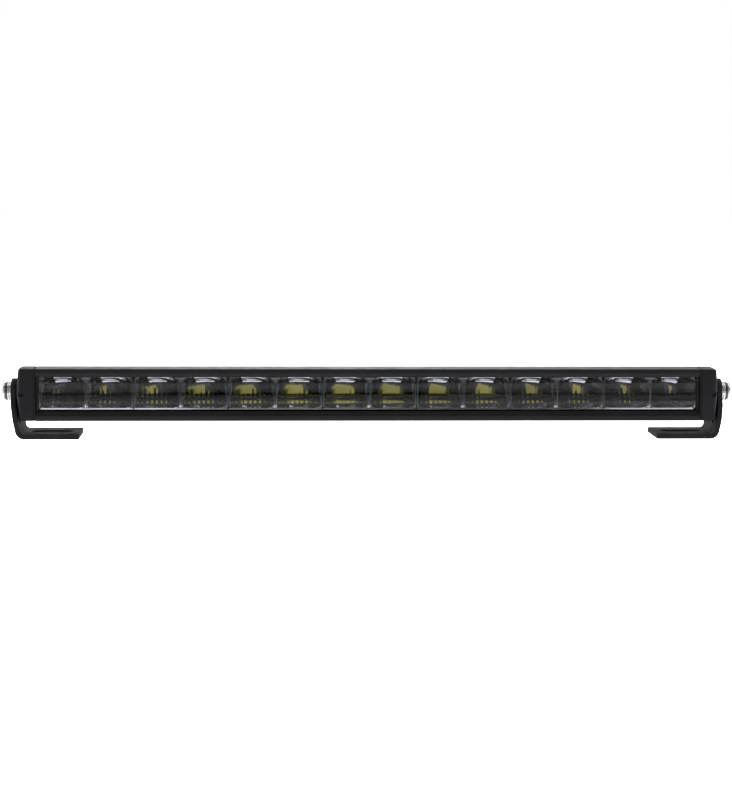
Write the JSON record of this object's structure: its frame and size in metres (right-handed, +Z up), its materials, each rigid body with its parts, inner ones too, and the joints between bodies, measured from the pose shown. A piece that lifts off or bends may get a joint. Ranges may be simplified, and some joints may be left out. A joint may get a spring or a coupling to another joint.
{
  "type": "led light bar",
  "caption": "Slim single-row LED light bar: black finned extrusion, mirrored twin-cell reflectors behind a clear lens, end caps and two slotted tilting feet.",
  "frame": {"origin": "bottom centre of the whole object's box, on the plane that the two feet stand on", "axes": "+X along the bar to the right as its front is faced, the light shines towards -Y, +Z up from the feet"},
  "size_m": [0.5656, 0.06, 0.054],
  "materials": {
    "powder_coat": "satin black powder coat",
    "cast_coat": "fine-textured black coat on a die casting",
    "bracket_coat": "fine-textured black powder coat",
    "stainless": "bright turned stainless",
    "spring_steel": "dark phosphated spring steel",
    "seal_rubber": "matt silicone rubber",
    "lens_clear": "clear polycarbonate",
    "reflector_chrome": "vacuum-metallised moulding",
    "led_board": "black solder mask with a pale pad round each LED",
    "thermal_pad": "soft grey gap pad",
    "led_phosphor": "yellow phosphor in silicone",
    "driver_board": "green solder mask",
    "ferrite": "moulded ferrite",
    "capacitor_can": "plain can",
    "lead_red": "silicone insulation",
    "lead_black": "silicone insulation",
    "nylon": "moulded nylon"
  },
  "bodies": {
    "lamp": {"housing": "powder_coat", "end_cap_left": "cast_coat", "end_cap_right": "cast_coat", "end_gasket_left": "seal_rubber", "end_gasket_right": "seal_rubber", "end_cap_screw_left_1": "stainless", "end_cap_screw_left_2": "stainless", "end_cap_screw_left_3": "stainless", "end_cap_screw_left_4": "stainless", "end_cap_screw_right_1": "stainless", "end_cap_screw_right_2": "stainless", "end_cap_screw_right_3": "stainless", "end_cap_screw_right_4": "stainless", "front_lens": "lens_clear", "lens_seal": "seal_rubber", "reflector_1": "reflector_chrome", "reflector_2": "reflector_chrome", "reflector_3": "reflector_chrome", "reflector_4": "reflector_chrome", "reflector_5": "reflector_chrome", "reflector_6": "reflector_chrome", "reflector_7": "reflector_chrome", "led_board": "led_board", "thermal_pad": "thermal_pad", "led_1": "led_phosphor", "led_2": "led_phosphor", "led_3": "led_phosphor", "led_4": "led_phosphor", "led_5": "led_phosphor", "led_6": "led_phosphor", "led_7": "led_phosphor", "led_8": "led_phosphor", "led_9": "led_phosphor", "led_10": "led_phosphor", "led_11": "led_phosphor", "led_12": "led_phosphor", "led_13": "led_phosphor", "led_14": "led_phosphor", "driver_board": "driver_board", "driver_inductor": "ferrite", "driver_capacitor_1": "capacitor_can", "driver_capacitor_2": "capacitor_can", "led_lead_positive": "lead_red", "led_lead_negative": "lead_black", "supply_lead": "lead_black", "gland_body": "nylon", "gland_nut": "nylon", "gland_seal": "seal_rubber", "gland_lock_nut": "nylon", "breather_vent": "nylon", "pivot_bolt_left": "stainless", "flat_washer_inner_left": "stainless", "flat_washer_outer_left": "stainless", "spring_washer_left": "spring_steel", "pivot_bolt_right": "stainless", "flat_washer_inner_right": "stainless", "flat_washer_outer_right": "stainless", "spring_washer_right": "spring_steel"},
    "bracket_left": {"bracket_left": "bracket_coat"},
    "bracket_right": {"bracket_right": "bracket_coat"}
  },
  "joints": [
    {"name": "tilt_left", "type": "hinge", "parent": "lamp", "child": "bracket_left", "pos_m": [-0.2746, -0.009, 0.035], "axis": [1, 0, 0], "range_deg": [-90, 35]},
    {"name": "tilt_right", "type": "hinge", "parent": "lamp", "child": "bracket_right", "pos_m": [0.2746, -0.009, 0.035], "axis": [1, 0, 0], "range_deg": [-90, 35]}
  ]
}
